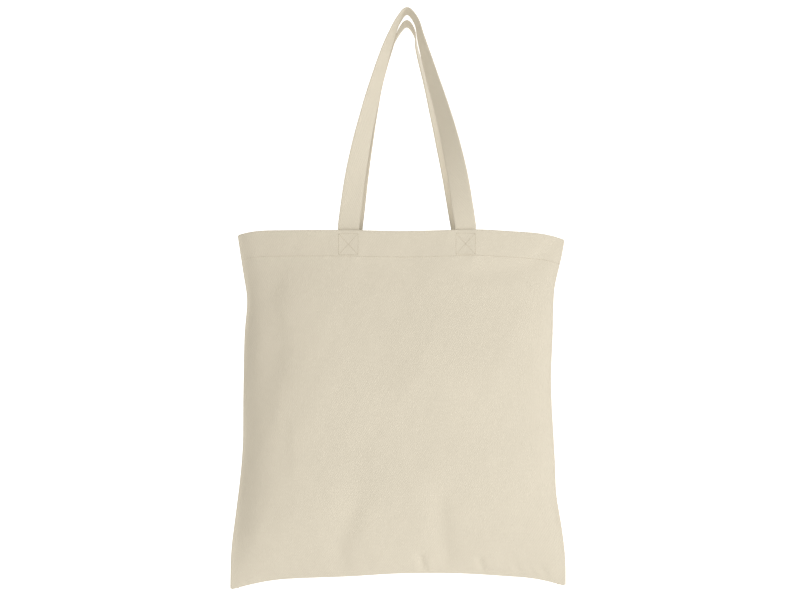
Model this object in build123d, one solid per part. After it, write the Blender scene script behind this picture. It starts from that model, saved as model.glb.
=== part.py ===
from build123d import *
import math
import os

# Canvas tote bag hanging from a peg by its two shoulder handles, as an assembly of sewn pieces.
#
# The bag is two cloth panels, each with a turned hem and a seam allowance folded inside, sewn together down both
# sides and along the bottom. Two straps are sewn inside the hems, with a boxed cross of thread at each end. Each
# strap is divided where it bends over the rim: its two sewn ends stay with the panels and its loop swings.
#
# Pieces are modelled about the middle of the rim (x to the right, y to the back, z up) and then moved, so that the
# origin is where the peg carries the front handle. The front half is modelled, and mirrored for the back.
# Lengths are in millimetres and angles in degrees.

# The bag
BAG_WIDTH = 389.0  # cut width, from side seam to side seam
BAG_HEIGHT = 396.5  # rim to bottom edge, at the middle
CLOTH = 0.7  # one layer of canvas
BULGE = 32.0  # how far each panel stands out from the seams at mid height
MOUTH = 18.0  # how far each rim stands out from the seams
HEM = 31.5  # depth of the turned hem
ALLOWANCE = 10.0  # width of the seam allowances inside
CORNER_R = 3.0

# The handles
STRAP_WIDTH = 24.5
STRAP = 1.8  # thickness of the folded and pressed strap
HANDLE_DROP = 251.0  # rim to the underside of the front handle's crown
BACK_SLACK = 7.0  # how much lower the back handle's crown hangs
FRONT_PITCH = 134.0  # between the middles of the front handle's two ends
BACK_PITCH = 128.0
HANDLE_CENTRE = 8.0  # the handles are sewn this far right of the bag's middle
CROWN_GAP = 1.75  # from the middle plane to the side of each strap's crown
FRONT_CROWN_TWIST = 86.0  # how far the strap has turned by its crown
BACK_CROWN_TWIST = 94.0
END_CLEARANCE = 2.3  # a strap's sewn end stops this far above the hem's lower fold
HINGE_RISE = 6.0  # where the strap bends, above the rim
BEND_GAP = 0.25  # between a sewn end and its loop
SEWN_GAP = 0.15  # between a sewn end and the hem

# The thread
THREAD = 0.45
THREAD_GAP = 0.15  # the thread lies this far off the cloth
HEM_STITCH = 1.5  # hem stitching, up from the hem's lower fold
BOX_TOP = 4.5  # top of the box stitching, below the rim
BOX_END = 0.7  # bottom of the box stitching, above the strap's end
BOX_INSET = 0.9  # box stitching, in from the strap's edges
SEAM_STITCH = 1.2  # seam stitching, in from the folded edge
SEAM_THREAD = 0.4  # thickness of the seam thread between the two allowances
OVERLOCK = 0.6  # thickness of the overlock thread round the raw edges

# Where the side edges are pulled in: (share of the height below the rim, millimetres)
LEFT_PULL = [(0, 5.5), (0.12, 12.7), (0.2, 17.2), (0.3, 14.3), (0.5, 12.7), (0.62, 12.3), (0.72, 9.2),
             (0.83, 3.8), (0.935, -1.2), (1.05, -2.4)]
RIGHT_PULL = [(0, 2), (0.08, 7.5), (0.165, 15.2), (0.3, 17.3), (0.45, 19.2), (0.67, 14.8), (0.77, 13),
              (0.865, 6.9), (0.955, 2.8), (1.05, 2.3)]
# How the rim and the bottom edge rise and droop: (share of the half width, millimetres up)
RIM_LINE = [(-1, -5.5), (-0.86, 0), (-0.7, 0.8), (-0.3, 0.7), (0, -0.5), (0.3, 0.8), (0.45, 1.6), (0.65, -0.2),
            (0.86, -3.3), (1, -10.5)]
BOTTOM_LINE = [(-1, -18.5), (-0.86, -11.5), (-0.7, -6.7), (-0.3, -3.4), (0, 0), (0.36, 0), (0.65, -3.4),
               (0.79, -5.7), (0.93, -11.5), (1, -15.5)]
# Each handle's line from its left end over the crown: (share of the half pitch, share of the height)
FRONT_LINE = [(-1, 0), (-0.86, 0.27), (-0.69, 0.49), (-0.48, 0.708), (-0.28, 0.872), (-0.14, 0.956), (0, 1),
              (0.15, 0.956), (0.235, 0.872), (0.41, 0.708), (0.65, 0.49), (0.84, 0.27), (1, 0)]
BACK_LINE = [(-1, 0), (-0.86, 0.27), (-0.70, 0.49), (-0.50, 0.708), (-0.28, 0.872), (-0.14, 0.956), (0, 1),
             (0.13, 0.956), (0.185, 0.872), (0.37, 0.708), (0.59, 0.49), (0.80, 0.27), (1, 0)]
# How a handle turns from its end to its crown: (share of the height, share of the crown's twist)
TWIST_LINE = [(0, 0), (0.27, 0.29), (0.49, 0.54), (0.76, 0.79), (0.87, 0.92), (1, 1)]

# How finely the curved pieces are lofted
PANEL_COLUMNS = 18
PANEL_ROWS = 13
EDGE_POINTS = 24
STRAP_SECTIONS = 27
TRIM = 4.0  # how far a loft runs past the outline that trims it

# Sizes that follow from the others
HALF = BAG_WIDTH / 2
PANEL_GAP = SEAM_THREAD / 2 + THREAD_GAP  # from the middle plane to each panel's allowance
END_DEPTH = HEM - END_CLEARANCE  # how far a strap's sewn end reaches below the rim
BOX_HEIGHT = END_DEPTH - BOX_END - BOX_TOP
CROWN_DEPTH = STRAP_WIDTH / 2 + CROWN_GAP  # middle of each strap's crown, from the middle plane
UP = Vector(0, 0, 1)
FRONT = Vector(0, -1, 0)


def smooth_through(points):
    """A function that passes smoothly through (position, value) points, and runs on straight past both ends."""
    places = [p[0] for p in points]
    values = [p[1] for p in points]
    last = len(points) - 1

    def slope(i):
        before = max(i - 1, 0)
        after = min(i + 1, last)
        return (values[after] - values[before]) / (places[after] - places[before])

    def value(place):
        if place <= places[0]:
            return values[0] + slope(0) * (place - places[0])
        if place >= places[last]:
            return values[last] + slope(last) * (place - places[last])
        i = max(k for k in range(last) if places[k] <= place)
        step = places[i + 1] - places[i]
        t = (place - places[i]) / step
        rise = t * t * (3 - 2 * t)
        lean = (t - 2 * t * t + t ** 3) * slope(i) + (t ** 3 - t * t) * slope(i + 1)
        return values[i] + (values[i + 1] - values[i]) * rise + lean * step

    return value


left_pull = smooth_through(LEFT_PULL)
right_pull = smooth_through(RIGHT_PULL)
rim_line = smooth_through(RIM_LINE)
bottom_line = smooth_through(BOTTOM_LINE)
twist_line = smooth_through(TWIST_LINE)


def spread(low, high, count):
    """Evenly spaced values from low to high."""
    return [low + (high - low) * i / (count - 1) for i in range(count)]


# The cloth's shape


def left_edge(z):
    return -HALF + left_pull(-z / BAG_HEIGHT)


def right_edge(z):
    return HALF - right_pull(-z / BAG_HEIGHT)


def rim(x):
    return rim_line(x / HALF)


def bottom(x):
    return bottom_line(x / HALF) - BAG_HEIGHT


def bulge(x, z):
    """How far the front panel stands out at x, z: nothing at the seams, most at mid height."""
    across = (2 * x - left_edge(z) - right_edge(z)) / (right_edge(z) - left_edge(z))
    down = (rim(x) - z) / (rim(x) - bottom(x))
    grown = min(max(down / 0.5, 0), 1)
    grown = grown * grown * (3 - 2 * grown)
    most = MOUTH + (BULGE - MOUTH) * grown
    return most * (1 - abs(across) ** 3) * (1 - max(down, 0) ** 5)


def outer(x, z, out=0.0):
    """Y of the front panel's outer surface, or of a surface that far outside it."""
    return -PANEL_GAP - 1.5 * CLOTH - bulge(x, z) - out


def inner(x, z):
    return outer(x, z) + CLOTH


def hem_inner(x, z):
    """Y of the hem's inner face. Its three layers are pressed thin where the panels meet at the side seams."""
    room = max(bulge(x, z), 0)
    return outer(x, z) + 1.2 * CLOTH + 1.8 * CLOTH * room / (room + 2 * CLOTH)


def strap_near(x, z):
    """Y of the face of a sewn strap end that lies against the hem."""
    return hem_inner(x, z) + SEWN_GAP


def strap_far(x, z):
    return strap_near(x, z) + STRAP


def plate(left, right, low, high, near, far, columns=3, rows=3):
    """A curved plate between x = left and right, z = low(x) and high(x), y = near(x, z) and far(x, z)."""
    sections = []
    for x in spread(left, right, columns):
        levels = spread(low(x), high(x), rows)
        near_face = [Vector(x, near(x, z), z) for z in levels]
        far_face = [Vector(x, far(x, z), z) for z in reversed(levels)]
        edges = [
            Spline(*near_face),
            Line(near_face[-1], far_face[0]),
            Spline(*far_face),
            Line(far_face[-1], near_face[0]),
        ]
        sections.append(Wire(edges))
    return Solid.make_loft(sections)


def corner(edge, line, inset, raised):
    """Where a side edge and the rim or the bottom edge meet, each moved inwards."""
    z = line(0)
    for _ in range(30):
        z = line(edge(z) + inset) + raised
    return edge(z) + inset, z


def outline(inset, top_drop):
    """The bag's outline as a flat face, moved in from the sides and the bottom, with its top lowered."""
    x_a, z_a = corner(left_edge, bottom, inset, inset)
    x_b, z_b = corner(left_edge, rim, inset, -top_drop)
    x_c, z_c = corner(right_edge, rim, -inset, -top_drop)
    x_d, z_d = corner(right_edge, bottom, -inset, inset)
    edges = [
        Spline(*[(left_edge(z) + inset, 0, z) for z in spread(z_a, z_b, EDGE_POINTS)]),
        Spline(*[(x, 0, rim(x) - top_drop) for x in spread(x_b, x_c, EDGE_POINTS)]),
        Spline(*[(right_edge(z) - inset, 0, z) for z in spread(z_c, z_d, EDGE_POINTS)]),
        Spline(*[(x, 0, bottom(x) + inset) for x in spread(x_d, x_a, EDGE_POINTS)]),
    ]
    return Face(Wire(edges))


def prism(face, near, far):
    """A face of the plane y = 0, stretched from y = near to y = far."""
    return Pos(0, near, 0) * Solid.extrude(face, Vector(0, far - near, 0))


# The panels


def make_panel():
    """The front panel: one cloth with its turned hem and its seam allowances.

    It is what is left of a block with the bag's outline, after cutting away all in front of the cloth and all behind
    it that isn't hem or allowance.
    """
    left = -HALF - TRIM
    right = HALF + TRIM
    deepest = -PANEL_GAP - BULGE - 4 * CLOTH
    block = prism(outline(0, 0), deepest, -PANEL_GAP)
    low_corners = block.edges().filter_by(Axis.Y).sort_by(Axis.Z)[:2]
    block = block.fillet(CORNER_R, low_corners)
    in_front = plate(left, right, lambda x: bottom(x) - TRIM, lambda x: rim(x) + TRIM,
                     lambda x, z: deepest - TRIM, outer, PANEL_COLUMNS, PANEL_ROWS)
    behind = plate(left, right, lambda x: bottom(x) - TRIM, lambda x: rim(x) - HEM,
                   inner, lambda x, z: BULGE, PANEL_COLUMNS, PANEL_ROWS)
    behind_hem = plate(left - TRIM, right + TRIM, lambda x: rim(x) - HEM - TRIM, lambda x: rim(x) + 2 * TRIM,
                       hem_inner, lambda x, z: BULGE + TRIM, PANEL_COLUMNS)
    allowance_front = -PANEL_GAP - CLOTH
    slab = Pos(0, allowance_front + BULGE, -BAG_HEIGHT / 2) * Box(2 * BAG_WIDTH, 2 * BULGE, 2 * BAG_HEIGHT)
    allowance = slab - prism(outline(ALLOWANCE, -2 * TRIM), deepest, 2 * BULGE + TRIM)
    return block - in_front - (behind - allowance) - (behind_hem - allowance)


# The handles

# A strap bends about the front face of its loop's lower end, so its hinge is at y = BEND_Y - STRAP / 2.
BEND_Y = strap_near(HANDLE_CENTRE, 0) + STRAP / 2


def handle_line(shape, pitch, crown_z):
    """The middle line of a handle, from its left end over the crown to its right end."""
    rise = crown_z - HINGE_RISE
    points = []
    for across, up in shape:
        x = HANDLE_CENTRE + across * pitch / 2
        y = BEND_Y + (-CROWN_DEPTH - BEND_Y) * up
        points.append(Vector(x, y, HINGE_RISE + rise * up))
    return Spline(*points)


def make_handle(shape, pitch, crown_z, crown_twist):
    """A handle's loop: a flat strap whose outer edge turns forward as it rises."""
    line = handle_line(shape, pitch, crown_z)
    sections = []
    for place in spread(0, 1, STRAP_SECTIONS):
        middle = line.position_at(place)
        along = line.tangent_at(place)
        outward = FRONT.cross(along).normalized()
        if place in (0, 1):
            outward = Vector(math.copysign(1, outward.X), 0, 0)
        turn = math.radians(crown_twist * twist_line((middle.Z - HINGE_RISE) / (crown_z - HINGE_RISE)))
        wide = (outward * math.cos(turn) + FRONT * math.sin(turn)) * (STRAP_WIDTH / 2)
        thick = along.cross(wide).normalized() * (STRAP / 2)
        corners = [middle + wide + thick, middle - wide + thick, middle - wide - thick, middle + wide - thick]
        sections.append(Wire([Line(corners[i - 1], corners[i]) for i in range(4)]))
    crown = STRAP_SECTIONS // 2
    return Solid.make_loft(sections[: crown + 1]) + Solid.make_loft(sections[crown:])


def make_end(x):
    """A strap's sewn end, flat against the inside of the hem."""
    top = HINGE_RISE - BEND_GAP
    return plate(x - STRAP_WIDTH / 2, x + STRAP_WIDTH / 2, lambda x: rim(x) - END_DEPTH, lambda x: top,
                 strap_near, strap_far)


# The thread


def boxed_cross(x):
    """The stitching pattern at a strap's end, as a flat face: a rectangle with both diagonals."""
    width = STRAP_WIDTH - 2 * BOX_INSET
    diagonal = math.hypot(width, BOX_HEIGHT)
    lean = math.degrees(math.atan2(BOX_HEIGHT, width))
    box = Rectangle(width, BOX_HEIGHT)
    pattern = box - Rectangle(width - 2 * THREAD, BOX_HEIGHT - 2 * THREAD)
    for angle in (lean, -lean):
        pattern += (Rot(0, 0, angle) * Rectangle(diagonal, THREAD)) & box
    return Pos(x, 0, rim(x) - BOX_TOP - BOX_HEIGHT / 2) * Rot(90, 0, 0) * pattern


def make_box_thread(x):
    """The thread of a boxed cross, on the front of the hem and on the back of the strap's end."""
    low = BOX_TOP + BOX_HEIGHT + TRIM
    half = STRAP_WIDTH / 2 + TRIM
    on_hem = plate(x - half, x + half, lambda x: rim(x) - low, rim,
                   lambda x, z: outer(x, z, THREAD_GAP + THREAD), lambda x, z: outer(x, z, THREAD_GAP))
    on_strap = plate(x - half, x + half, lambda x: rim(x) - low, rim,
                     lambda x, z: strap_far(x, z) + THREAD_GAP, lambda x, z: strap_far(x, z) + THREAD_GAP + THREAD)
    stitches = extrude(boxed_cross(x), BULGE + MOUTH, dir=(0, -1, 0))
    return (on_hem & stitches).solids() + (on_strap & stitches).solids()


def make_hem_thread():
    """The hem's two rows of thread, one outside, and one inside between the seam allowances."""
    def low(x):
        return rim(x) - HEM + HEM_STITCH - THREAD / 2

    def high(x):
        return low(x) + THREAD

    outside_inset = SEAM_STITCH + THREAD
    inside_inset = ALLOWANCE + OVERLOCK + 1
    left = corner(left_edge, low, 0, 0)[0]
    right = corner(right_edge, low, 0, 0)[0]
    outside = plate(left + outside_inset, right - outside_inset, low, high,
                    lambda x, z: outer(x, z, THREAD_GAP + THREAD), lambda x, z: outer(x, z, THREAD_GAP),
                    PANEL_COLUMNS)
    inside = plate(left + inside_inset, right - inside_inset, low, high,
                   lambda x, z: hem_inner(x, z) + THREAD_GAP, lambda x, z: hem_inner(x, z) + THREAD_GAP + THREAD,
                   PANEL_COLUMNS)
    return [outside, inside]


def strip(near, far, depth):
    """A flat strip between two smooth lines of points in the plane y = 0, as deep to the front as to the back."""
    edges = [
        Spline(*near),
        Line(near[-1], far[-1]),
        Spline(*reversed(far)),
        Line(far[0], near[0]),
    ]
    return prism(Face(Wire(edges)), -depth / 2, depth / 2)


def side_strip(edge, side, inset, width, depth, low_inset):
    """A strip down a side seam, from just under the rim to low_inset above the bottom edge."""
    top = corner(edge, rim, -side * inset, -SEAM_STITCH)[1]
    foot = corner(edge, bottom, -side * low_inset, low_inset)[1]
    levels = spread(foot, top, EDGE_POINTS)
    near = [(edge(z) - side * inset, 0, z) for z in levels]
    far = [(edge(z) - side * (inset + width), 0, z) for z in levels]
    return strip(near, far, depth)


def bottom_strip(inset, width, depth, end_inset):
    """A strip along the bottom seam, between points end_inset in from both sides."""
    left = corner(left_edge, bottom, end_inset, inset)[0]
    right = corner(right_edge, bottom, -end_inset, inset)[0]
    places = spread(left, right, EDGE_POINTS)
    near = [(x, 0, bottom(x) + inset) for x in places]
    far = [(x, 0, bottom(x) + inset + width) for x in places]
    return strip(near, far, depth)


def make_seam_threads():
    """The three seams' threads, between the allowances, and the overlock threads round their raw edges."""
    past_seam = SEAM_STITCH + THREAD + THREAD_GAP
    raw_edge = ALLOWANCE + 2 * THREAD_GAP
    past_overlock = raw_edge + OVERLOCK + THREAD_GAP
    overlock_depth = 2 * (PANEL_GAP + CLOTH)
    pieces = {
        "bottom_seam_thread": bottom_strip(SEAM_STITCH, THREAD, SEAM_THREAD, SEAM_STITCH),
        "bottom_overlock_thread": bottom_strip(raw_edge, OVERLOCK, overlock_depth, raw_edge),
    }
    for name, edge, side in (("left", left_edge, -1), ("right", right_edge, 1)):
        pieces[name + "_seam_thread"] = side_strip(edge, side, SEAM_STITCH, THREAD, SEAM_THREAD, past_seam)
        pieces[name + "_overlock_thread"] = side_strip(edge, side, raw_edge, OVERLOCK, overlock_depth, past_overlock)
    return pieces


# The assembly


def make_half(name, panel, hem_thread, shape, pitch, drop, crown_twist):
    """Everything sewn to one panel, modelled as a front half."""
    pieces = {
        name + "_panel": panel,
        name + "_hem_thread": hem_thread,
        name + "_handle": make_handle(shape, pitch, drop + STRAP / 2, crown_twist),
    }
    for side_name, side in (("left", -1), ("right", 1)):
        x = HANDLE_CENTRE + side * pitch / 2
        pieces[name + "_handle_" + side_name + "_end"] = make_end(x)
        pieces[name + "_" + side_name + "_box_thread"] = Compound(make_box_thread(x))
    return pieces


def make_bag():
    panel = make_panel()
    hem_thread = Compound(make_hem_thread())
    back_drop = HANDLE_DROP - BACK_SLACK
    pieces = make_half("front", panel, hem_thread, FRONT_LINE, FRONT_PITCH, HANDLE_DROP, FRONT_CROWN_TWIST)
    back_half = make_half("back", panel, hem_thread, BACK_LINE, BACK_PITCH, back_drop, BACK_CROWN_TWIST)
    for name, piece in back_half.items():
        pieces[name] = mirror(piece, about=Plane.XZ)
    pieces.update(make_seam_threads())
    return pieces


HANG_POINT = Pos(-HANDLE_CENTRE, 0, -HANDLE_DROP)

os.makedirs("parts", exist_ok=True)
for name, piece in make_bag().items():
    export_step(HANG_POINT * piece, "parts/" + name + ".step")
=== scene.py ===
import math
import random

import bpy
import numpy as np
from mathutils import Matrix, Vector
from mathutils.bvhtree import BVHTree


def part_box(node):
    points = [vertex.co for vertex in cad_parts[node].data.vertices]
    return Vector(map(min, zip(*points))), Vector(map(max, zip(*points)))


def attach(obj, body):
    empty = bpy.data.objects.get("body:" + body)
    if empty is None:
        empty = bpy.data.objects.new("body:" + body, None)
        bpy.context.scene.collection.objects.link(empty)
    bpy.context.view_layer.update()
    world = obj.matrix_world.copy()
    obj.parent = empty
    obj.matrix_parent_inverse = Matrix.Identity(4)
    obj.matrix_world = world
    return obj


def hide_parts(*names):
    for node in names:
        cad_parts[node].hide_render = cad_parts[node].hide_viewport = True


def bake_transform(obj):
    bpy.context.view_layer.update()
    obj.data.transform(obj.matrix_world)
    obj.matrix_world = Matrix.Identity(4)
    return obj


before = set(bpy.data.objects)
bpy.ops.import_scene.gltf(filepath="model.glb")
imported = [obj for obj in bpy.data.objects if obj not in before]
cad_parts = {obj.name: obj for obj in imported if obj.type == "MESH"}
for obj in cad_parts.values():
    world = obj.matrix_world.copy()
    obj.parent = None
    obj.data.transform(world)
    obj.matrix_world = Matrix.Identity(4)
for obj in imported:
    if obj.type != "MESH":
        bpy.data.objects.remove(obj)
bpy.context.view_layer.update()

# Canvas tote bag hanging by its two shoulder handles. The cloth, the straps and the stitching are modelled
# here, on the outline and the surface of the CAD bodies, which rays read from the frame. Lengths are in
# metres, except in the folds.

MM = 0.001

# The cloth
CLOTH = 0.7 * MM
GRID = 2.4 * MM  # the size of the cloth mesh's squares
EDGE = 1.4 * MM  # where the outer face ends and its side and bottom folds begin
HEM = 31.5 * MM  # depth of the turned hem
TURNED_UNDER = 28 * MM  # how far the hem's raw edge reaches up inside it
HEM_ROOM = 4 * MM  # where the hem's inner layers end beside the side seams
ALLOWANCE = 10 * MM
PANEL_GAP = 0.35 * MM  # from the middle plane to each panel's allowance
HEM_STITCH = 1.5 * MM  # hem stitching, up from the hem's lower fold

# The straps
STRAP = 1.8 * MM
STRAP_WIDTH = 24.5 * MM
STRAP_STEP = 2 * MM
SEWN_DEPTH = 29.2 * MM  # how far the sewn ends reach down below the rim
SEWN_RISE = 5.75 * MM  # how far they reach up above it
LOOP_POINTS = 280  # points along a loop before they are spaced by the step
FRONT_TWIST = 86  # how far the strap has turned by its crown, in degrees
BACK_TWIST = 94
BOX_INSET = 1.1 * MM  # box stitching, in from the strap's edges
BOX_TOP = 4.5 * MM  # top of the box stitching, below the rim
BOX_HEIGHT = 24 * MM
BOX_POINTS = 14  # points along each of its straight runs

# The thread
THREAD_R = 0.2 * MM
SEAM_THREAD_R = 0.16 * MM
THREAD_SIDES = 6
STITCH = 2.1 * MM
SEAM_STITCH = 1.2 * MM  # seam stitching, in from the folded edge
OVERLOCK_BITE = 2.6 * MM  # how far the overlock thread reaches in from the raw edge
OVERLOCK_PITCH = 2.6 * MM

RIM_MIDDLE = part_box("front_handle_left_end")[1].z - SEWN_RISE
LAYER = 1.03 * CLOTH  # from the middle of one layer to the middle of the next


def rise(value, low, high):
    """0 below low, 1 above high, smooth between."""
    t = np.clip((value - low) / (high - low), 0, 1)
    return t * t * (3 - 2 * t)


def ripple(a, b, length, seed):
    """A random smooth wave over the plane, about from -1 to 1, of about that wave length."""
    dice = random.Random(seed)
    total = 0 * a
    for _ in range(9):
        turn = dice.uniform(0, math.pi)
        size = length * dice.uniform(0.75, 1.5)
        start = dice.uniform(0, 2 * math.pi)
        total = total + np.sin((a * math.cos(turn) + b * math.sin(turn)) * 2 * math.pi / size + start)
    return total / 4


def smoothed(values, passes):
    """The values, each drawn towards its neighbours, with the first and the last as they were."""
    values = values.copy()
    for _ in range(passes):
        values[1:-1] = (values[:-2] + 2 * values[1:-1] + values[2:]) / 4
    return values


def unit(vectors):
    return vectors / np.linalg.norm(vectors, axis=1)[:, None]


def walk(points):
    """The distance walked along a line by each of its points."""
    return np.concatenate([[0], np.cumsum(np.linalg.norm(np.diff(points, axis=0), axis=1))])


def at_distance(at, walked, vectors):
    """Vectors that are known at the distances walked, taken at other distances."""
    return np.stack([np.interp(at, walked, vectors[:, k]) for k in range(3)], 1)


# Reading the CAD panel


def tree_of(obj):
    verts = [v.co.copy() for v in obj.data.vertices]
    return BVHTree.FromPolygons(verts, [tuple(p.vertices) for p in obj.data.polygons])


def first_hit(tree, start, direction, axis):
    """Where a ray first meets the surface, as one of its coordinates."""
    place = tree.ray_cast(Vector(start), Vector(direction))[0]
    return None if place is None else place[axis]


def read_line(places, read):
    """A function that follows read(place) where that finds the surface, and runs straight on at both ends."""
    known = [(place, read(place)) for place in places]
    xs = np.array([place for place, value in known if value is not None])
    ys = smoothed(np.array([value for place, value in known if value is not None]), 3)
    beyond = 50 * MM
    before = ys[0] - (ys[4] - ys[0]) / (xs[4] - xs[0]) * beyond
    after = ys[-1] + (ys[-1] - ys[-5]) / (xs[-1] - xs[-5]) * beyond
    xs = np.concatenate([[xs[0] - beyond], xs, [xs[-1] + beyond]])
    ys = np.concatenate([[before], ys, [after]])
    return lambda place: np.interp(place, xs, ys)


cad_front = tree_of(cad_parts["front_panel"])
panel_low, panel_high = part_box("front_panel")
IN_ALLOWANCE = -PANEL_GAP - CLOTH / 2  # y of the middle of the front allowance's cloth
levels = np.linspace(panel_low.z + 10 * MM, panel_high.z - 16 * MM, 150)
west, east = panel_low.x - 1, panel_high.x + 1  # well outside the panel, where the rays start
left_edge = read_line(levels, lambda z: first_hit(cad_front, (west, IN_ALLOWANCE, z), (1, 0, 0), 0))
right_edge = read_line(levels, lambda z: first_hit(cad_front, (east, IN_ALLOWANCE, z), (-1, 0, 0), 0))
foot_xs = np.linspace(left_edge(panel_low.z) + 6 * MM, right_edge(panel_low.z) - 6 * MM, 150)
bottom = read_line(foot_xs, lambda x: first_hit(cad_front, (x, IN_ALLOWANCE, panel_low.z - 1), (0, 0, 1), 2))


def cad_face(x, z):
    return first_hit(cad_front, (x, -1, z), (0, 1, 0), 1)


def cad_rim(x):
    face = cad_face(x, RIM_MIDDLE - 16 * MM)
    return None if face is None else first_hit(cad_front, (x, face + CLOTH, panel_high.z + 1), (0, 0, -1), 2)


rim = read_line(np.linspace(left_edge(RIM_MIDDLE) + 3 * MM, right_edge(RIM_MIDDLE) - 3 * MM, 150), cad_rim)


def place_on_bag(across, down):
    """x and z at a share of the width and of the height, found by going back and forth between the two."""
    x = across * 0.0
    for _ in range(8):
        z = rim(x) + (bottom(x) - rim(x)) * down
        x = left_edge(z) + (right_edge(z) - left_edge(z)) * across
    return x, z


WIDTH = float(right_edge(RIM_MIDDLE - 20 * MM) - left_edge(RIM_MIDDLE - 20 * MM))
HEIGHT = float(rim(0.0) - bottom(0.0))

# How far the panel stands out, on a grid of places from left to right and from the rim down
grid_across = np.linspace(EDGE, WIDTH - EDGE, 150)
grid_down = np.linspace(3 * MM, HEIGHT - EDGE, 165)
grid_shares = np.broadcast_arrays(grid_across[None, :] / WIDTH, grid_down[:, None] / HEIGHT)
grid_x, grid_z = place_on_bag(*grid_shares)
grid_y = np.vectorize(lambda x, z: cad_face(x, z) or IN_ALLOWANCE)(grid_x, grid_z)
grid_bulge = np.maximum(-grid_y - PANEL_GAP - 1.5 * CLOTH, 0)
for _ in range(14):
    grid_bulge = smoothed(smoothed(grid_bulge, 1).T, 1).T


def bulge_at(across, down):
    """How far the panel stands out at places in metres from the left edge and down from the rim."""
    i = np.clip((across - grid_across[0]) / (grid_across[1] - grid_across[0]), 0, len(grid_across) - 1.001)
    j = np.clip((down - grid_down[0]) / (grid_down[1] - grid_down[0]), 0, len(grid_down) - 1.001)
    a, b = i.astype(int), j.astype(int)
    s, t = i - a, j - b
    upper = grid_bulge[b, a] * (1 - s) + grid_bulge[b, a + 1] * s
    lower = grid_bulge[b + 1, a] * (1 - s) + grid_bulge[b + 1, a + 1] * s
    return upper * (1 - t) + lower * t


# The folds that the cloth's hang gives it. Their sizes and places are in mm, across from the middle of the
# rim and down from it.


def upright_fold(across, down, line, height, left, right, fade=25):
    """A soft ridge, or a valley if height is negative, that runs down along a line of (down, across)."""
    downs = [p[0] for p in line]
    middle = np.interp(down, downs, [p[1] for p in line])
    off = across - middle
    side = np.where(off < 0, left, right)
    reach = rise(down, downs[0] - fade, downs[0]) * (1 - rise(down, downs[-1], downs[-1] + fade))
    return height * np.exp(-(off / side) ** 2) * reach


def level_fold(across, down, line, height, above, below, fade=25):
    """A soft ridge or valley that runs from left to right along a line of (across, down)."""
    acrosses = [p[0] for p in line]
    middle = np.interp(across, acrosses, [p[1] for p in line])
    off = down - middle
    side = np.where(off < 0, above, below)
    reach = rise(across, acrosses[0] - fade, acrosses[0])
    reach = reach * (1 - rise(across, acrosses[-1], acrosses[-1] + fade))
    return height * np.exp(-(off / side) ** 2) * reach


def front_folds(across, down, from_left, from_right):
    """How far the folds of the front panel stand out, in mm."""
    high_up = 6.8 * (1 - np.exp(-(from_left / 12) ** 2)) * np.exp(-from_left / 140)
    low_down = 12 * (1 - np.exp(-(from_left / 23) ** 2)) * np.exp(-from_left / 60)
    total = high_up + (low_down - high_up) * rise(down, 150, 230)
    total *= (0.35 + 0.65 * rise(down, 0, 130)) * (1 - 0.8 * rise(down, 345, 396))
    total += 2.5 * (1 - np.exp(-(from_right / 12) ** 2)) * np.exp(-from_right / 60) * rise(down, 0, 120)
    total += upright_fold(across, down, [(90, -128), (132, -119), (196, -137)], 2.7, 15, 70, 75)
    total += upright_fold(across, down, [(225, -122), (262, -121)], 0.9, 6, 26)
    total += level_fold(across, down, [(80, 50), (120, 45), (150, 36), (178, 14)], -1.5, 10, 13, 45)
    total += upright_fold(across, down, [(305, -50), (335, -62), (362, -72)], -2.4, 18, 13, 45)
    total += upright_fold(across, down, [(315, 44), (335, 47), (366, 50)], -2.2, 14, 12, 40)
    for place in (-50, -27, 55, 83):
        total += upright_fold(across, down, [(0, place), (31, place + 1)], 0.5, 9, 8, 8)
    puckers = ((24, 1.9, 376), (93, 1.7, 381), (134, 1.2, 388), (150, 0.8, 391), (163, 1.3, 390))
    for place, depth, start in puckers:
        total += upright_fold(across, down, [(start, place - 2), (396, place + 4)], -depth, 5, 4, 9)
    for place, depth in ((132, 0.5), (220, 0.7), (249, 0.5)):
        total += level_fold(across, down, [(168, place - 2), (200, place)], -depth, 4, 6, 14)
    return total


def back_folds(across, down, from_left, from_right):
    """How far the folds of the back panel stand out, in mm, with across counted as for the front."""
    total = 5 * (1 - np.exp(-(from_left / 16) ** 2)) * np.exp(-from_left / 110) * rise(down, 30, 90)
    total += 4 * (1 - np.exp(-(from_right / 14) ** 2)) * np.exp(-from_right / 90) * rise(down, 40, 80)
    total += upright_fold(across, down, [(80, 128), (150, 118), (210, 132)], 2.4, 10, 24)
    total += level_fold(across, down, [(-160, 40), (-100, 56), (-30, 96)], 2.4, 14, 10)
    total += upright_fold(across, down, [(290, 40), (330, 52), (365, 58)], -2.8, 15, 14)
    total += upright_fold(across, down, [(310, -70), (372, -76)], -2.2, 13, 12)
    for place in (-150, -118, -40, 12, 90):
        total += upright_fold(across, down, [(368, place), (396, place - 2)], -1.6, 4.5, 4.5, 14)
    return total


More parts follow.
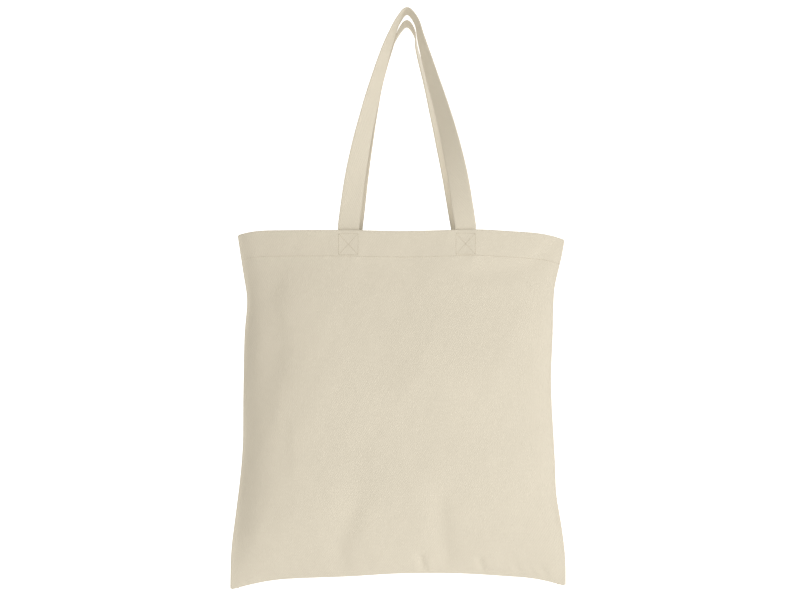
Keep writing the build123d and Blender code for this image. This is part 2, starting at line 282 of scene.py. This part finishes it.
def small_folds(across, down, from_edge, from_bottom, seed):
    """The cloth's own unevenness and its puckering along the seams and the hem's stitching, in mm."""
    total = 0.55 * ripple(across, down, 95, seed) * rise(down, 20, 60)
    total += 0.22 * ripple(across, down, 38, seed + 1)
    total += 0.07 * ripple(across, down, 14, seed + 2)
    total += 0.45 * ripple(down, 0 * down, 19, seed + 3) * np.exp(-from_edge / 9)
    total += 0.45 * ripple(across, 0 * across, 17, seed + 4) * np.exp(-from_bottom / 10)
    stitched = HEM / MM - HEM_STITCH / MM
    total += 0.16 * ripple(across, 0 * across, 11, seed + 5) * np.exp(-((down - stitched) / 6) ** 2)
    total += 0.2 * (1 - rise(down, stitched + 0.6, stitched + 2))
    total -= 0.1 * np.exp(-((down - stitched) / 0.9) ** 2)
    return total


# Meshes


def new_object(name, verts, faces, material):
    mesh = bpy.data.meshes.new(name)
    mesh.from_pydata([tuple(v) for v in verts], [], faces)
    mesh.validate()
    mesh.update()
    mesh.polygons.foreach_set("use_smooth", [True] * len(mesh.polygons))
    mesh.materials.append(material)
    obj = bpy.data.objects.new(name, mesh)
    bpy.context.scene.collection.objects.link(obj)
    return obj


def set_cloth_places(obj, places):
    """Stores where each vertex lies on the flat cloth, which its material's weave follows."""
    layer = obj.data.attributes.new("cloth", "FLOAT_VECTOR", "POINT")
    layer.data.foreach_set("vector", places.astype(np.float32).ravel())


def set_bake_places(obj, places):
    """Stores where each vertex lies on a picture that the material can be baked to."""
    corners = np.zeros(len(obj.data.loops), int)
    obj.data.loops.foreach_get("vertex_index", corners)
    layer = obj.data.uv_layers.new(name="OFBake")
    layer.data.foreach_set("uv", places[corners].astype(np.float32).ravel())


def ring_faces(rings, sides, first=0):
    """The faces of a closed tube of rings of vertices, numbered from first."""
    faces = []
    for r in range(rings - 1):
        for s in range(sides):
            a = first + r * sides + s
            b = first + r * sides + (s + 1) % sides
            faces.append((a, b, b + sides, a + sides))
    faces.append(tuple(first + s for s in reversed(range(sides))))
    faces.append(tuple(first + (rings - 1) * sides + s for s in range(sides)))
    return faces


def panel_rows():
    """The rows of a panel's mesh, from the hem's raw edge by way of the rim to the bottom's: (kind, value).

    The value is metres down from the rim, metres up from the bottom in the allowance, or, in a fold, a share
    of half a turn.
    """
    count = round((HEM - HEM_STITCH - 3 * MM) / GRID)
    hem_downs = list(np.linspace(1.2 * MM, HEM - 4.5 * MM, count))
    hem_downs += [HEM - HEM_STITCH + step * MM for step in (-2, -1.2, -0.6, 0, 0.6)]
    face_downs = list(np.linspace(HEM + 3 * MM, HEIGHT - EDGE, round((HEIGHT - HEM) / GRID)))
    rows = [("turned", d) for d in hem_downs if d > HEM - TURNED_UNDER]
    rows += [("hem_fold", t) for t in (0.25, 0.5, 0.75)]
    rows += [("inner", d) for d in reversed(hem_downs)]
    rows += [("rim_roll", t) for t in (0.9, 0.75, 0.6, 0.45, 0.3, 0.15)]
    rows += [("outer", d) for d in hem_downs + [HEM + 0.2 * MM, HEM + 1.4 * MM] + face_downs]
    rows += [("bottom_fold", t) for t in (0.2, 0.4, 0.6, 0.8)]
    rows += [("allowance", d) for d in np.linspace(1.2 * MM, ALLOWANCE, 5)]
    return rows


def panel_columns():
    """The columns of a panel's mesh, from the left raw edge to the right one: (kind, value) as for rows."""
    columns = [("allowance_left", d) for d in reversed(np.linspace(1.2 * MM, ALLOWANCE, 5))]
    columns += [("fold_left", t) for t in (0.8, 0.6, 0.4, 0.2)]
    columns += [("outer", a) for a in np.linspace(EDGE, WIDTH - EDGE, round(WIDTH / GRID))]
    columns += [("fold_right", t) for t in (0.2, 0.4, 0.6, 0.8)]
    columns += [("allowance_right", d) for d in np.linspace(1.2 * MM, ALLOWANCE, 5)]
    return columns


def thickened(points, quads):
    """The cloth about a middle surface: its squares on both sides, joined round the raw edges."""
    sheet = bpy.data.meshes.new("middle")
    sheet.from_pydata([tuple(p) for p in points], [], quads)
    normals = np.zeros(len(points) * 3)
    sheet.vertices.foreach_get("normal", normals)
    normals = normals.reshape(-1, 3)
    bpy.data.meshes.remove(sheet)
    count = len(points)
    raw_edges = {}
    for quad in quads:
        for a, b in zip(quad, quad[1:] + quad[:1]):
            if (b, a) in raw_edges:
                del raw_edges[(b, a)]
            else:
                raw_edges[(a, b)] = True
    faces = quads + [tuple(v + count for v in reversed(quad)) for quad in quads]
    faces += [(b, a, a + count, b + count) for a, b in raw_edges]
    return np.concatenate([points + normals * CLOTH / 2, points - normals * CLOTH / 2]), faces


def make_panel(name, side, folds, seed, material):
    """A panel as one closed cloth: its turned hem, its face and its allowances. side is -1 at the front."""
    rows = panel_rows()
    columns = panel_columns()
    row_of = np.array([kind for kind, _ in rows])
    row_value = np.array([value for _, value in rows])[:, None] + np.zeros(len(columns))
    column_of = np.array([kind for kind, _ in columns])
    column_value = np.array([value for _, value in columns])[None, :] + np.zeros((len(rows), 1))

    # Where each vertex is on the outer face, in metres down from the rim and from the left edge.
    down = np.where(np.isin(row_of, ["turned", "inner", "outer"])[:, None], row_value, 0)
    down = np.where((row_of == "hem_fold")[:, None], HEM, down)
    down = np.where(np.isin(row_of, ["bottom_fold", "allowance"])[:, None], HEIGHT - EDGE, down)
    across = np.where((column_of == "outer")[None, :], column_value, EDGE)
    across = np.where(np.isin(column_of, ["fold_right", "allowance_right"])[None, :], WIDTH - EDGE, across)
    x, z = place_on_bag(across / WIDTH, down / HEIGHT)
    from_left = (x - left_edge(z)) / MM
    from_right = (right_edge(z) - x) / MM
    from_bottom = (z - bottom(x)) / MM
    from_edge = np.minimum(from_left, from_right)
    rim_centre = (left_edge(RIM_MIDDLE - 5 * MM) + right_edge(RIM_MIDDLE - 5 * MM)) / 2
    along_x = (x - rim_centre) / MM
    below = (RIM_MIDDLE - z) / MM
    stands_out = folds(along_x, below, from_left, from_right)
    stands_out += small_folds(along_x, below, from_edge, from_bottom, seed)
    stands_out *= rise(from_edge, 0, 9) * rise(from_bottom, 0, 9)
    bulge = np.maximum(bulge_at(across, down) + stands_out * MM, 0)

    # The middle surface of the cloth, for the front; the back is mirrored.
    y_outer = IN_ALLOWANCE - np.hypot(LAYER, bulge)
    y = np.where((row_of == "turned")[:, None], y_outer + LAYER, y_outer)
    y = np.where((row_of == "inner")[:, None], y_outer + 2 * LAYER, y)
    angle = row_value * math.pi
    fold = (row_of == "hem_fold")[:, None]
    y = np.where(fold, y_outer + 1.5 * LAYER - LAYER / 2 * np.cos(angle), y)
    z = np.where(fold, z - LAYER / 2 * np.sin(angle), z)
    roll = (row_of == "rim_roll")[:, None]
    y = np.where(roll, y_outer + LAYER - LAYER * np.cos(angle), y)
    z = np.where(roll, rim(x) - CLOTH / 2 - LAYER + LAYER * np.sin(angle), z)
    fold = (row_of == "bottom_fold")[:, None]
    y = np.where(fold, y_outer + (IN_ALLOWANCE - y_outer) * (1 - np.cos(angle)) / 2, y)
    z = np.where(fold, bottom(x) + CLOTH / 2 + LAYER / 2 - LAYER / 2 * np.sin(angle), z)
    flap = (row_of == "allowance")[:, None]
    y = np.where(flap, IN_ALLOWANCE, y)
    z = np.where(flap, bottom(x) + row_value, z)
    angle = column_value * math.pi
    for fold_name, flap_name, edge, way in (
        ("fold_left", "allowance_left", left_edge, 1),
        ("fold_right", "allowance_right", right_edge, -1),
    ):
        fold = (column_of == fold_name)[None, :]
        y = np.where(fold, y_outer + (IN_ALLOWANCE - y_outer) * (1 - np.cos(angle)) / 2, y)
        x = np.where(fold, edge(z) + way * (CLOTH / 2 + LAYER / 2 - LAYER / 2 * np.sin(angle)), x)
        flap = (column_of == flap_name)[None, :]
        y = np.where(flap, IN_ALLOWANCE, y)
        x = np.where(flap, edge(z) + way * column_value, x)

    # There are no squares where folded layers would run into each other, at the hem's ends and the corners.
    hem_rows = np.isin(row_of, ["turned", "hem_fold", "inner"])
    roll_rows = row_of == "rim_roll"
    outer_columns = column_of == "outer"
    roomy = outer_columns & (column_value[0] > HEM_ROOM) & (column_value[0] < WIDTH - HEM_ROOM)
    keep = np.ones((len(rows), len(columns)), bool)
    keep[hem_rows] = roomy[None, :]
    keep[roll_rows] = outer_columns[None, :]
    keep[np.isin(row_of, ["bottom_fold", "allowance"])] = outer_columns[None, :]
    in_hem = (row_of == "outer") & (row_value[:, 0] < HEM + 1 * MM)
    wide = np.isin(column_of, ["allowance_left", "allowance_right"]) & (column_value[0] > HEM_ROOM)
    keep &= ~(in_hem[:, None] & wide[None, :])
    keep[np.ix_(roll_rows, ~roomy)] &= (row_value[roll_rows][:, ~roomy] < 0.5)
    square = keep[:-1, :-1] & keep[1:, :-1] & keep[:-1, 1:] & keep[1:, 1:]

    number = np.full(keep.shape, -1)
    used = np.zeros(keep.shape, bool)
    for i, j in ((0, 0), (1, 0), (0, 1), (1, 1)):
        used[i:len(rows) - 1 + i, j:len(columns) - 1 + j] |= square
    number[used] = np.arange(used.sum())
    points = np.stack([x[used], side * -y[used], z[used]], 1)
    quads = []
    for i, j in zip(*np.where(square)):
        quad = (number[i, j], number[i + 1, j], number[i + 1, j + 1], number[i, j + 1])
        quads.append(quad if side < 0 else quad[::-1])
    verts, faces = thickened(points, quads)
    obj = new_object(name, verts, faces, material)

    # Both sides of the cloth have the same weave, and their own halves of the bake.
    row_step = np.hypot(*(np.diff(a[:, len(columns) // 2], prepend=a[0, len(columns) // 2]) for a in (y, z)))
    flat_down = np.cumsum(row_step)[:, None] + 0 * x
    outwards = np.where(np.char.endswith(column_of, "_left"), -1, 1)
    flat_across = across + outwards[None, :] * np.char.startswith(column_of, "allow")[None, :] * column_value
    flat = np.stack([flat_across[used], -flat_down[used], np.zeros(used.sum())], 1)
    set_cloth_places(obj, np.concatenate([flat, flat]))
    share = np.stack(np.broadcast_arrays(
        np.linspace(0.01, 0.49, len(columns))[None, :], np.linspace(0.99, 0.01, len(rows))[:, None]), 2)[used]
    set_bake_places(obj, np.concatenate([share, share + (0.5, 0)]))
    return obj


# Materials


def node(tree, kind, inputs=(), **settings):
    made = tree.nodes.new(kind)
    for key, value in settings.items():
        setattr(made, key, value)
    for key, value in dict(inputs).items():
        if isinstance(value, bpy.types.NodeSocket):
            tree.links.new(value, made.inputs[key])
        else:
            made.inputs[key].default_value = value
    return made


def cotton(name, colour, rib, rib_depth):
    """Undyed cotton cloth: twill ribs of that spacing, the weave's threads, flecks and soft patches of
    lighter and darker tone, and painted shade that makes the ribs' grooves a little darker and their crests a
    little lighter.
    """
    material = bpy.data.materials.new(name)
    material.use_nodes = True
    tree = material.node_tree
    shader = tree.nodes["Principled BSDF"]
    where = node(tree, "ShaderNodeAttribute", attribute_name="cloth").outputs["Vector"]
    apart = node(tree, "ShaderNodeSeparateXYZ", {0: where})

    def noise(scale, detail):
        made = node(tree, "ShaderNodeTexNoise", {"Vector": where, "Scale": scale, "Detail": detail})
        return made.outputs["Fac"]

    def plus(first, second):
        return node(tree, "ShaderNodeMath", {0: first, 1: second}, operation="ADD").outputs[0]

    def times(first, second):
        return node(tree, "ShaderNodeMath", {0: first, 1: second}, operation="MULTIPLY").outputs[0]

    def sine(angle):
        return node(tree, "ShaderNodeMath", {0: angle}, operation="SINE").outputs[0]

    lean = plus(times(apart.outputs[0], -0.82), times(apart.outputs[1], 0.57))
    ribs = sine(plus(times(lean, 2 * math.pi / rib), times(noise(60.0, 3.0), 5.0)))
    warp = sine(times(apart.outputs[0], 2 * math.pi / 0.0008))
    weft = sine(times(apart.outputs[1], 2 * math.pi / 0.0009))
    flecks = noise(420.0, 4.0)
    height = plus(plus(times(ribs, rib_depth), times(times(warp, weft), 0.35)), times(flecks, 1.6))
    bump = node(tree, "ShaderNodeBump", {"Height": height, "Strength": 0.6, "Distance": 0.0001})
    tone_and_rib_shade = plus(times(noise(14.0, 5.0), 0.07), times(flecks, 0.07))
    # The colour also follows the ribs, lighter on their crests and darker in their grooves: painted shade of
    # the twill's relief, on top of the bump.
    tone_and_rib_shade = plus(plus(tone_and_rib_shade, times(ribs, 0.022)), 0.93)
    base = node(tree, "ShaderNodeVectorMath", {0: colour, "Scale": tone_and_rib_shade}, operation="SCALE")
    tree.links.new(base.outputs[0], shader.inputs["Base Color"])
    tree.links.new(bump.outputs[0], shader.inputs["Normal"])
    shader.inputs["Roughness"].default_value = 0.9
    shader.inputs["Specular IOR Level"].default_value = 0.15
    shader.inputs["Sheen Weight"].default_value = 0.25
    shader.inputs["Sheen Roughness"].default_value = 0.6
    return material


CANVAS_COLOUR = (0.705, 0.65, 0.54)
canvas = cotton("canvas", CANVAS_COLOUR, 0.0022, 0.8)
webbing = cotton("strap", CANVAS_COLOUR, 0.0022, 0.8)
cotton_thread = cotton("thread", (0.61, 0.55, 0.44), 0.0006, 0.4)


def stitches(name, runs, radius=THREAD_R):
    """A mesh of stitches along runs. A run is its points and the direction out of the cloth at each point."""
    rings = np.array([-1, -0.75, -0.3, 0.3, 0.75, 1])  # shares of half a stitch, from its middle
    thin = np.array([0.35, 0.85, 1, 1, 0.85, 0.35])  # each ring's share of the thread's radius
    verts = []
    faces = []
    flat = []
    for points, outward in runs:
        points = np.array(points)
        outward = np.array(outward)
        walked = walk(points)
        count = max(round(walked[-1] / STITCH), 1)
        span = walked[-1] / count
        for k in range(count):
            at = span * (k + 0.5) + rings * span * 0.43
            middle = at_distance(at, walked, points)
            out = unit(at_distance(at, walked, outward))
            along = middle[-1] - middle[0]
            along /= np.linalg.norm(along)
            across = np.cross(along, out)
            middle = middle + out * (radius * (0.9 - 1.5 * rings ** 2))[:, None]
            faces += ring_faces(len(rings), THREAD_SIDES, len(verts))
            for r in range(len(rings)):
                for s in range(THREAD_SIDES):
                    turn = s * 2 * math.pi / THREAD_SIDES
                    spoke = across[r] * math.cos(turn) + out[r] * math.sin(turn)
                    verts.append(middle[r] + radius * thin[r] * spoke)
                    flat.append((at[r], radius * turn, 0))
    obj = new_object(name, verts, faces, cotton_thread)
    set_cloth_places(obj, np.array(flat))
    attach(obj, "root")
    return obj


def tube(name, points, radius):
    """A thread that runs on through points."""
    points = np.array(points)
    along = unit(np.gradient(points, axis=0))
    one = unit(np.cross(along, (0.31, 0.22, 0.92)))  # any direction will do that the thread never takes
    two = np.cross(along, one)
    turns = (np.arange(THREAD_SIDES) * 2 * math.pi / THREAD_SIDES)[None, :, None]
    verts = points[:, None] + radius * (one[:, None] * np.cos(turns) + two[:, None] * np.sin(turns))
    obj = new_object(name, verts.reshape(-1, 3), ring_faces(len(points), THREAD_SIDES), cotton_thread)
    flat = np.zeros((len(points), THREAD_SIDES, 3))
    flat[:, :, 0] = walk(points)[:, None]
    set_cloth_places(obj, flat.reshape(-1, 3))
    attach(obj, "root")
    return obj


# The straps

# Each strap's line from its left end over the crown: (share of the half pitch, share of the height)
FRONT_LINE = [(-1, 0), (-0.86, 0.27), (-0.69, 0.49), (-0.48, 0.708), (-0.28, 0.872), (-0.14, 0.956), (0, 1),
              (0.15, 0.956), (0.235, 0.872), (0.41, 0.708), (0.65, 0.49), (0.84, 0.27), (1, 0)]
BACK_LINE = [(-1, 0), (-0.86, 0.27), (-0.70, 0.49), (-0.50, 0.708), (-0.28, 0.872), (-0.14, 0.956), (0, 1),
             (0.13, 0.956), (0.185, 0.872), (0.37, 0.708), (0.59, 0.49), (0.80, 0.27), (1, 0)]
# How a strap turns from its end to its crown: (share of the height, share of the crown's twist)
TWIST_LINE = [(0, 0), (0.27, 0.28), (0.49, 0.52), (0.76, 0.755), (0.87, 0.86), (0.95, 0.96), (1, 1)]


def smooth_line(points, count):
    """Points evenly along a smooth curve through points."""
    points = np.array(points)
    walked = walk(points)
    slope = np.gradient(points, walked, axis=0)
    at = np.linspace(0, walked[-1], count * 4)
    i = np.clip(np.searchsorted(walked, at, side="right") - 1, 0, len(points) - 2)
    step = (walked[i + 1] - walked[i])[:, None]
    t = ((at - walked[i]) / (walked[i + 1] - walked[i]))[:, None]
    bend = (t - 2 * t ** 2 + t ** 3) * slope[i] + (t ** 3 - t ** 2) * slope[i + 1]
    fine = points[i] + (points[i + 1] - points[i]) * t * t * (3 - 2 * t) + bend * step
    fine = smoothed(fine, 8)
    walked = walk(fine)
    return at_distance(np.linspace(0, walked[-1], count), walked, fine)


def sewn_end(node_name, side):
    """Points up the middle of a strap's sewn end, from its lower edge to the strap's bend over the rim."""
    tree = tree_of(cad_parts[node_name])
    end_low, end_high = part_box(node_name)
    x = (end_low.x + end_high.x) / 2
    path = []
    for z in np.linspace(end_low.z + 1.5 * MM, end_high.z - 0.2 * MM, 12):
        y = first_hit(tree, (x, side, z), (0, -side, 0), 1)
        path.append((x, y - side * STRAP / 2, z))
    path[0] = (x, 2 * path[1][1] - path[2][1], float(rim(x)) - SEWN_DEPTH)
    return path


def strap_line(node_name, shape, crown, side):
    """The strap's middle line from one sewn end over the crown to the other, and the distance along it."""
    loop_low, loop_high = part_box(node_name)
    centre = (loop_low.x + loop_high.x) / 2
    reach = (loop_high.x - loop_low.x - STRAP_WIDTH) / 2
    hinge = loop_low.z
    crown_y = (loop_low.y if side < 0 else loop_high.y) - side * STRAP_WIDTH / 2
    left_end = sewn_end(node_name + "_left_end", side)
    right_end = sewn_end(node_name + "_right_end", side)
    bend_y = left_end[-1][1]
    loop = [(centre + across * reach, bend_y + (crown_y - bend_y) * up, hinge + (crown - hinge) * up)
            for across, up in shape]
    line = smoothed(np.concatenate([left_end, smooth_line(loop, LOOP_POINTS), right_end[::-1]]), 2)
    walked = walk(line)
    at = np.linspace(0, walked[-1], round(walked[-1] / STRAP_STEP))
    line = smoothed(at_distance(at, walked, line), 2)
    lift = (crown - hinge) / (line[:, 2].max() - hinge)  # makes up for what the smoothing took off the crown
    line[:, 2] += (lift - 1) * np.maximum(line[:, 2] - hinge, 0)
    return line, at


def make_strap(name, node_name, shape, crown_twist, side):
    """A strap in one piece, from one sewn end over the crown to the other. side is -1 at the front."""
    loop_low, loop_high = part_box(node_name)
    hinge = loop_low.z
    crown = loop_high.z - STRAP / 2 - STRAP_WIDTH / 2 * abs(math.cos(math.radians(crown_twist)))
    line, at = strap_line(node_name, shape, crown, side)
    along = unit(np.gradient(line, axis=0))
    outward = unit(np.cross((0.0, -1.0, 0.0), along))
    up = np.clip((line[:, 2] - hinge) / (crown - hinge), 0, 1)
    turn = np.radians(crown_twist) * np.interp(up, [p[0] for p in TWIST_LINE], [p[1] for p in TWIST_LINE])
    turn = smoothed(turn, 4)
    away = np.array((0.0, side, 0.0))
    wide = outward * np.cos(turn)[:, None] + away * np.sin(turn)[:, None]
    thick = unit(np.cross(along, wide))

    # The section: two faces with rounded edges, and a faint dip beside each edge.
    section = []
    half = STRAP_WIDTH / 2
    for face in (1, -1):
        for share in np.linspace(-0.93, 0.93, 13) * face:
            puff = 1 - 0.12 * math.exp(-((abs(share) - 0.8) / 0.12) ** 2)
            section.append((share * half, face * STRAP / 2 * puff))
        section.append((face * half * 0.975, face * STRAP / 2 * 0.75))
        section.append((face * half, 0.0))
        section.append((face * half * 0.975, -face * STRAP / 2 * 0.75))
    section = np.array(section)
    wobble = 0.12 * MM * ripple(at / MM, 0 * at, 33, 5) * rise(up, 0.05, 0.15)
    verts = line[:, None] + wide[:, None] * section[None, :, :1] + thick[:, None] * section[None, :, 1:]
    verts = verts + thick[:, None] * wobble[:, None, None]
    inside_out = ring_faces(len(line), len(section))
    obj = new_object(name, verts.reshape(-1, 3), [face[:1] + face[:0:-1] for face in inside_out], webbing)
    flat = np.stack(np.broadcast_arrays(walk(section)[None, :], at[:, None], 0 * at[:, None]), 2)
    set_cloth_places(obj, flat.reshape(-1, 3))
    return obj


front_canvas = make_panel("front_canvas", -1, front_folds, 11, canvas)
back_canvas = make_panel("back_canvas", 1, back_folds, 47, canvas)
front_strap = make_strap("front_strap", "front_handle", FRONT_LINE, FRONT_TWIST, -1)
back_strap = make_strap("back_strap", "back_handle", BACK_LINE, BACK_TWIST, 1)

for obj, cad in ((front_canvas, "front_panel"), (back_canvas, "back_panel")):
    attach(obj, "root")
    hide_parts(cad)
for obj, cad in ((front_strap, "front_handle"), (back_strap, "back_handle")):
    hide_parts(cad, cad + "_left_end", cad + "_right_end")


# The stitching


def on_surface(obj, xs, zs, start_y, direction):
    """Points on an object's surface seen from start_y, with the direction out of it."""
    tree = tree_of(obj)
    points = []
    outs = []
    for x, z in zip(xs, zs):
        place, normal, _, _ = tree.ray_cast(Vector((x, start_y, z)), Vector((0, direction, 0)))
        if place is not None:
            points.append(tuple(place))
            outs.append(tuple(normal))
    return points, outs


def box_lines(x):
    """The straight runs of a boxed cross about x, as pairs of (x, z) ends."""
    top = float(rim(x)) - BOX_TOP
    foot = top - BOX_HEIGHT
    a = x - STRAP_WIDTH / 2 + BOX_INSET
    b = x + STRAP_WIDTH / 2 - BOX_INSET
    return [((a, top), (b, top)), ((b, top), (b, foot)), ((b, foot), (a, foot)), ((a, foot), (a, top)),
            ((a, top), (b, foot)), ((a, foot), (b, top))]


halves = ((-1, "front", front_canvas, front_strap), (1, "back", back_canvas, back_strap))
for side, word, panel, strap in halves:
    hem_low = RIM_MIDDLE - HEM
    hem_x = np.linspace(left_edge(hem_low) + 3 * MM, right_edge(hem_low) - 3 * MM, 260)
    hem_z = rim(hem_x) - HEM + HEM_STITCH
    inside = slice(8, -8)  # the row inside stops short of the side seams' allowances
    rows = [
        on_surface(panel, hem_x, hem_z, side, -side),
        on_surface(panel, hem_x[inside], hem_z[inside], side * 0.5 * MM, side),
    ]
    made = stitches(word + "_hem_stitches", rows)
    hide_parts(word + "_hem_thread")
    for end in ("left", "right"):
        end_low, end_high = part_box(f"{word}_handle_{end}_end")
        runs = []
        for ends in box_lines((end_low.x + end_high.x) / 2):
            xs, zs = np.linspace(*ends, BOX_POINTS).T
            runs.append(on_surface(panel, xs, zs, side, -side))
            runs.append(on_surface(strap, xs, zs, 0.0, side))
        made = stitches(f"{word}_{end}_box_stitches", runs)
        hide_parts(f"{word}_{end}_box_thread")

for obj, cad in ((front_strap, "front_handle"), (back_strap, "back_handle")):
    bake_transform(obj)


def seam_run(edge, foot, top, inset, way):
    """Points up a side seam, at a distance in from its edge."""
    return [(float(edge(z)) + way * inset, 0.0, z) for z in np.linspace(foot, top, 200)]


def overlock(line, inwards):
    """Points of a thread that wraps two raw edges along line. inwards points from the seam into the bag."""
    line = np.array(line)
    walked = walk(line)
    outside = PANEL_GAP + CLOTH + 0.26 * MM
    past = 0.45 * MM  # how far the thread stands off the raw edge
    turn = [(-OVERLOCK_BITE, -outside), (0.0, -outside), (past, 0.0), (0.0, outside),
            (-OVERLOCK_BITE, outside), (0.0, outside), (past, 0.0), (0.0, -outside)]
    points = []
    for k in range(int(walked[-1] / OVERLOCK_PITCH)):
        at = OVERLOCK_PITCH * (k + np.arange(len(turn)) / len(turn))
        for middle, (deep, y) in zip(at_distance(at, walked, line), turn):
            points.append(middle + np.array(inwards) * deep + np.array((0, y, 0)))
    return points


def sew_seam(word, run, raw, inwards):
    """The stitches of a seam along run, and the overlock thread along the raw edge of its allowances."""
    made = stitches(word + "_seam_stitches", [(run, [(0, -1, 0)] * len(run))], SEAM_THREAD_R)
    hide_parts(word + "_seam_thread")
    made = tube(word + "_overlock", overlock(raw, inwards), SEAM_THREAD_R)
    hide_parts(word + "_overlock_thread")


raw_low = float(bottom(0.0)) + 14 * MM
raw_high = RIM_MIDDLE - HEM - 3 * MM
RAW_INSET = ALLOWANCE + 0.35 * MM
for word, edge, way in (("left", left_edge, 1), ("right", right_edge, -1)):
    run = seam_run(edge, panel_low.z + 6 * MM, panel_high.z - 10 * MM, SEAM_STITCH, way)
    sew_seam(word, run, seam_run(edge, raw_low, raw_high, RAW_INSET, way), (way, 0, 0))
foot_xs = np.linspace(panel_low.x + 14 * MM, panel_high.x - 14 * MM, 200)
run = [(x, 0.0, float(bottom(x)) + SEAM_STITCH) for x in foot_xs]
sew_seam("bottom", run, [(x, 0.0, float(bottom(x)) + RAW_INSET) for x in foot_xs], (0, 0, 1))


# Studio


def plain(name, colour, glow=0.0):
    """A dull, even material for the studio, which can glow white."""
    material = bpy.data.materials.new(name)
    material.use_nodes = True
    shader = material.node_tree.nodes["Principled BSDF"]
    shader.inputs["Base Color"].default_value = (*colour, 1)
    shader.inputs["Roughness"].default_value = 0.9
    shader.inputs["Specular IOR Level"].default_value = 0
    shader.inputs["Emission Color"].default_value = (1, 1, 1, 1)
    shader.inputs["Emission Strength"].default_value = glow
    return material


FLOOR_Z = -1.3
BACKDROP_Y = 1.6
paper = plain("paper", (0.8, 0.8, 0.8), 0.85)
pale = plain("pale_floor", (0.82, 0.81, 0.79))
wall = [(-6, BACKDROP_Y, FLOOR_Z), (6, BACKDROP_Y, FLOOR_Z), (6, BACKDROP_Y, 4), (-6, BACKDROP_Y, 4)]
backdrop = new_object("backdrop", wall, [(0, 1, 2, 3)], paper)
ground = [(-6, -5, FLOOR_Z), (6, -5, FLOOR_Z), (6, BACKDROP_Y, FLOOR_Z), (-6, BACKDROP_Y, FLOOR_Z)]
floor = new_object("floor", ground, [(0, 1, 2, 3)], pale)


def area_light(name, place, aim, size, power, colour):
    lamp = bpy.data.lights.new(name, "AREA")
    lamp.shape = "DISK"
    lamp.size = size
    lamp.energy = power
    lamp.color = colour
    obj = bpy.data.objects.new(name, lamp)
    obj.location = place
    obj.rotation_euler = (Vector(aim) - Vector(place)).to_track_quat("-Z", "Y").to_euler()
    bpy.context.scene.collection.objects.link(obj)


area_light("key", (2.3, -1.8, 0.1), (0, 0, -0.4), 0.8, 23, (0.98, 0.985, 1))
area_light("fill", (0.4, -2.4, -1.1), (0, 0, -0.42), 1.6, 20, (0.975, 0.985, 1))
area_light("low", (0.3, -0.8, -1.2), (0, 0, -0.6), 0.5, 0.85, (0.97, 0.985, 1))

bpy.context.scene.view_settings.view_transform = "Standard"

world = bpy.data.worlds.new("studio")
world.use_nodes = True
world.node_tree.nodes["Background"].inputs["Color"].default_value = (1, 0.965, 0.885, 1)
world.node_tree.nodes["Background"].inputs["Strength"].default_value = 0.56
bpy.context.scene.world = world

camera = bpy.data.objects.new("camera", bpy.data.cameras.new("camera"))
camera.data.lens = 46.53
camera.data.sensor_width = 36
camera.location = (-0.008, -1.2, -0.3304)
camera.rotation_euler = (math.radians(90), 0, 0)
bpy.context.scene.collection.objects.link(camera)
bpy.context.scene.camera = camera
